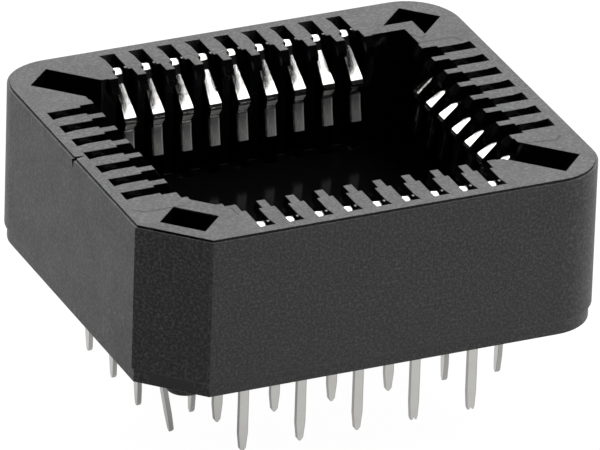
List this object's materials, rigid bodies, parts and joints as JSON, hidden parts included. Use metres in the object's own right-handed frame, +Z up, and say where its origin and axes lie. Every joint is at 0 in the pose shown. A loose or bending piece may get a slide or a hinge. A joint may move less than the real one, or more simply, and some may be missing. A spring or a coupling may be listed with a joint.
{
  "type": "chip carrier socket",
  "caption": "Rectangular through-hole socket for a leaded chip carrier: open moulded body with ribs, keyed corner and sprung bent contacts whose tails go through the board.",
  "frame": {"origin": "middle of the board plane, under the four feet, in the centre of the body's outline", "axes": "+X along the long side, with the cut corner at -X -Y and the first contact in the middle of the -X side; +Y to the back; +Z up, out of the open mouth"},
  "size_m": [0.02, 0.0176, 0.0119],
  "materials": {
    "housing_plastic": "fine-grained black glass-filled moulding",
    "contact_metal": "bright tin plate on spring bronze"
  },
  "bodies": {
    "root": {"housing": "housing_plastic", "contact_01": "contact_metal", "contact_02": "contact_metal", "contact_03": "contact_metal", "contact_04": "contact_metal", "contact_05": "contact_metal", "contact_06": "contact_metal", "contact_07": "contact_metal", "contact_08": "contact_metal", "contact_09": "contact_metal", "contact_10": "contact_metal", "contact_11": "contact_metal", "contact_12": "contact_metal", "contact_13": "contact_metal", "contact_14": "contact_metal", "contact_15": "contact_metal", "contact_16": "contact_metal", "contact_17": "contact_metal", "contact_18": "contact_metal", "contact_19": "contact_metal", "contact_20": "contact_metal", "contact_21": "contact_metal", "contact_22": "contact_metal", "contact_23": "contact_metal", "contact_24": "contact_metal", "contact_25": "contact_metal", "contact_26": "contact_metal", "contact_27": "contact_metal", "contact_28": "contact_metal", "contact_29": "contact_metal", "contact_30": "contact_metal", "contact_31": "contact_metal", "contact_32": "contact_metal"}
  },
  "joints": []
}
